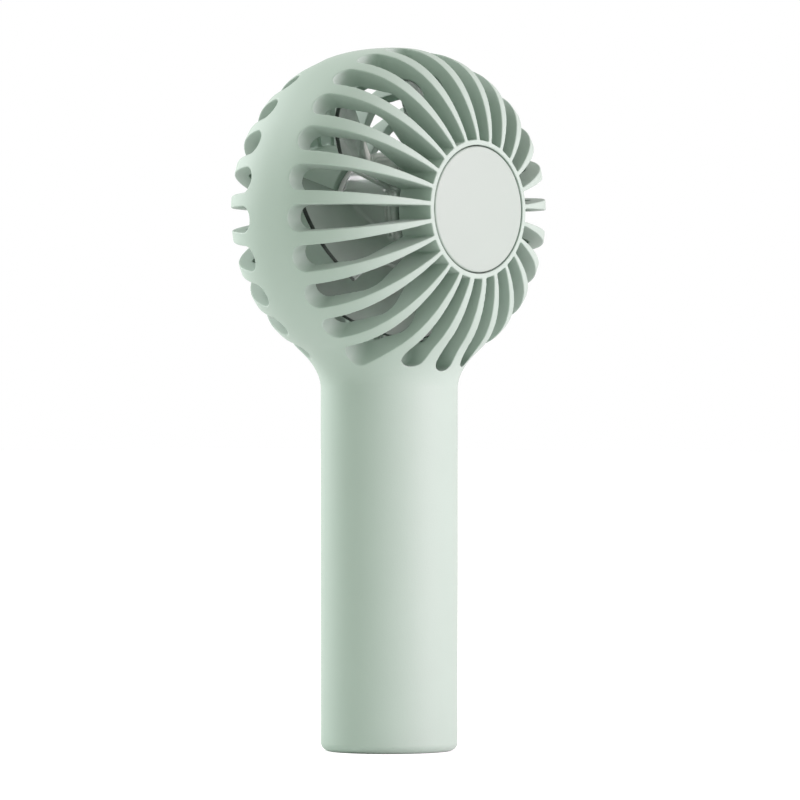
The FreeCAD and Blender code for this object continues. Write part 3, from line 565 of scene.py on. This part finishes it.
def paint_tip_shade(made):
    """Paint shade on the impeller blades' outer edges, by distance from the fan's axis: the tip edges seen in
    shadow, painted darker.
    """
    nodes = made.node_tree.nodes
    links = made.node_tree.links
    shader = nodes["Principled BSDF"]
    colour = shader.inputs["Base Color"].links[0].from_socket
    place = nodes.new("ShaderNodeTexCoord")
    flat = nodes.new("ShaderNodeVectorMath")
    flat.operation = "MULTIPLY_ADD"
    flat.inputs[1].default_value = (1, 0, 1)
    flat.inputs[2].default_value = (0, 0, -HEAD_Z * MM)
    far = nodes.new("ShaderNodeVectorMath")
    far.operation = "LENGTH"
    edge = nodes.new("ShaderNodeMapRange")
    edge.inputs["From Min"].default_value = (TIP - TIP_SHADE_FROM) * MM
    edge.inputs["From Max"].default_value = (TIP - TIP_SHADE_FULL) * MM
    mix = nodes.new("ShaderNodeMix")
    mix.data_type = "RGBA"
    # Near-black painted shade for the blade tips' edges
    mix.inputs["B"].default_value = (0.05, 0.06, 0.055, 1)
    links.new(place.outputs["Object"], flat.inputs[0])
    links.new(flat.outputs[0], far.inputs[0])
    links.new(far.outputs["Value"], edge.inputs["Value"])
    links.new(edge.outputs["Result"], mix.inputs["Factor"])
    links.new(colour, mix.inputs["A"])
    links.new(mix.outputs["Result"], shader.inputs["Base Color"])


# The impeller's blade tips get painted shade.
paint_tip_shade(LOOKS["impeller_white"])

# Pieces -------------------------------------------------------------------------------

ROOM = 1.2
SIDE = HEAD_RADIUS + ROOM
SHELL_FACES = 180000
IMPELLER_FACES = 90000
RIM = 0.5
CAP_DROP = 0.05
CAP_SKIRT = 1.3
CAP_THICK = 2
FLANGE_THICK = 0.8


def shell(name, rear, node):
    """One shell, meshed a little past the seam and then cut flat there."""
    low = (-SIDE, SEAM - ROOM if rear else -HUB_FACE - ROOM, -HEAD_Z - ROOM)
    high = (SIDE, HUB_FACE + ROOM if rear else SEAM + ROOM, SIDE)

    def form(x, y, z):
        return shell_form(x, y, z, rear)

    piece = mesh_form(name, form, low, high, VOXEL, SHELL_FACES)
    trim_at_seam(piece, rear)
    field_normals(piece, form, SEAM)
    dress(piece, "shell_green")
    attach(piece, "housing")
    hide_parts(node)


def rounded_rim(radius, face):
    """A quarter round from a face to a side, as (radius, distance) points."""
    turns = [k * math.pi / 12 for k in range(7)]
    return [(radius - RIM + RIM * math.sin(turn), face - RIM + RIM * math.cos(turn)) for turn in turns]


def cap(name, node, side):
    """A hub cap with a softly rounded rim and a skirt."""
    face = HUB_FACE - CAP_DROP
    back = face - CAP_THICK
    inner = CAP - CAP_SKIRT
    profile = [(0, face)] + rounded_rim(CAP, face)
    profile += [(CAP, SEAT_DEPTH), (inner, SEAT_DEPTH), (inner, back), (0, back)]
    piece = lathe(name, [(radius, side * along) for radius, along in profile], (0, 0, HEAD_Z), 128)
    dress(piece, "cap_green")
    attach(piece, "housing")
    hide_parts(node)


def impeller():
    """The impeller, meshed whole."""
    low = (-TIP - 1, -SPINNER_FRONT - 1, -TIP - 1)
    high = (TIP + 1, SPINNER_BACK + 1, TIP + 1)
    piece = mesh_form("impeller_mesh", impeller_form, low, high, VOXEL, IMPELLER_FACES)
    field_normals(piece, impeller_form)
    dress(piece, "impeller_white")
    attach(piece, "impeller")
    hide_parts("impeller")


def button():
    """The power button, with a shallow dish for the thumb and a flange that keeps it in."""
    low, high = node_box("power_button")
    middle = (low[2] + high[2]) / 2
    face = high[1]
    flange = high[0]
    stem = BUTTON_HOLE - 0.3
    profile = [(0, face - 0.5), (stem * 0.45, face - 0.42), (stem * 0.75, face - 0.18), (stem - 0.7, face)]
    profile += rounded_rim(stem, face)
    step = low[1] + FLANGE_THICK
    profile += [(stem, step), (flange, step), (flange, low[1]), (0, low[1])]
    piece = lathe("power_button_cap", profile, (0, 0, middle), 96)
    dress(piece, "button_green")
    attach(piece, "power_button")
    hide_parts("power_button")


shell("front_shell_skin", False, "front_shell")
shell("rear_shell_skin", True, "rear_shell")
cap("front_cap_disc", "front_cap", -1)
cap("rear_cap_disc", "rear_cap", 1)
impeller()
button()

REPLACED = {"front_shell", "rear_shell", "front_cap", "rear_cap", "impeller", "power_button"}
for part in frame["record"]["subparts"]:
    if part["node"] not in REPLACED:
        paint(frame["nodes"][part["node"]], LOOKS[part["material_slot"]])

# Stage --------------------------------------------------------------------------------


def add_area(name, spot, aim, size, power, colour):
    lamp = bpy.data.lights.new(name, "AREA")
    lamp.shape = "RECTANGLE"
    lamp.size, lamp.size_y = size
    lamp.energy = power
    lamp.color = colour
    holder = bpy.data.objects.new(name, lamp)
    bpy.context.scene.collection.objects.link(holder)
    holder.location = spot
    holder.rotation_euler = (Vector(aim) - Vector(spot)).to_track_quat("-Z", "Y").to_euler()


AIM = Vector((0.00174, -0.0018, 0.08185))
BACK = Vector((-0.7193, -0.6947, 0.0))
RIGHT = Vector((0.6947, -0.7193, 0.0))
UP = Vector((0, 0, 1))
DISTANCE = 1.378

camera = bpy.data.objects.new("camera", bpy.data.cameras.new("camera"))
bpy.context.scene.collection.objects.link(camera)
camera.location = AIM + BACK * DISTANCE
camera.rotation_euler = (-BACK).to_track_quat("-Z", "Y").to_euler()
camera.data.lens = 265.5
camera.data.sensor_width = 36
camera.data.clip_start = 0.01
bpy.context.scene.camera = camera

bpy.ops.mesh.primitive_plane_add(size=12, location=(0, 0, 0))
floor = bpy.context.object
floor.name = "floor"

# The floor glows a little for the camera alone, so that it shows white without lighting the fan.
white = bpy.data.materials.new("floor_white")
white.use_nodes = True
floor_nodes = white.node_tree.nodes
floor_links = white.node_tree.links
pale = floor_nodes["Principled BSDF"]
pale.inputs["Base Color"].default_value = (0.9, 0.9, 0.9, 1)
pale.inputs["Roughness"].default_value = 0.9
pale.inputs["Emission Color"].default_value = (1, 1, 1, 1)
sight = floor_nodes.new("ShaderNodeLightPath")
lift = floor_nodes.new("ShaderNodeMath")
lift.operation = "MULTIPLY"
lift.inputs[1].default_value = 0.4
floor_links.new(sight.outputs["Is Camera Ray"], lift.inputs[0])
floor_links.new(lift.outputs[0], pale.inputs["Emission Strength"])
floor.data.materials.append(white)

# The lights' colours, as (red, green, blue)
FILL = (0.805, 0.792, 0.757)
KEY = (1.0, 0.75, 0.918)
BACK_LIGHT = (1.0, 0.94, 1.0)

# The camera sees a white background, and the fan is lit by the fill.
world = bpy.data.worlds.new("studio")
world.use_nodes = True
world_nodes = world.node_tree.nodes
world_links = world.node_tree.links
seen = world_nodes["Background"]
seen.inputs["Color"].default_value = (1, 1, 1, 1)
lit = world_nodes.new("ShaderNodeBackground")
lit.inputs["Color"].default_value = (*FILL, 1)
ray = world_nodes.new("ShaderNodeLightPath")
blend = world_nodes.new("ShaderNodeMixShader")
world_links.new(ray.outputs["Is Camera Ray"], blend.inputs["Fac"])
world_links.new(lit.outputs[0], blend.inputs[1])
world_links.new(seen.outputs[0], blend.inputs[2])
world_links.new(blend.outputs[0], world_nodes["World Output"].inputs["Surface"])
bpy.context.scene.world = world
bpy.context.scene.view_settings.view_transform = "Standard"


def toward(degrees, rise):
    """A direction from the object: degrees to the right of the camera, and upwards."""
    turn = math.radians(degrees)
    lift = math.radians(rise)
    flat = BACK * math.cos(turn) + RIGHT * math.sin(turn)
    return flat * math.cos(lift) + UP * math.sin(lift)


add_area("key", AIM + toward(66, 14) * 1.2, AIM, (0.7, 0.9), 20.9, KEY)
add_area("rim", AIM + toward(-124, 26) * 0.9, AIM, (0.35, 0.7), 8.4, BACK_LIGHT)
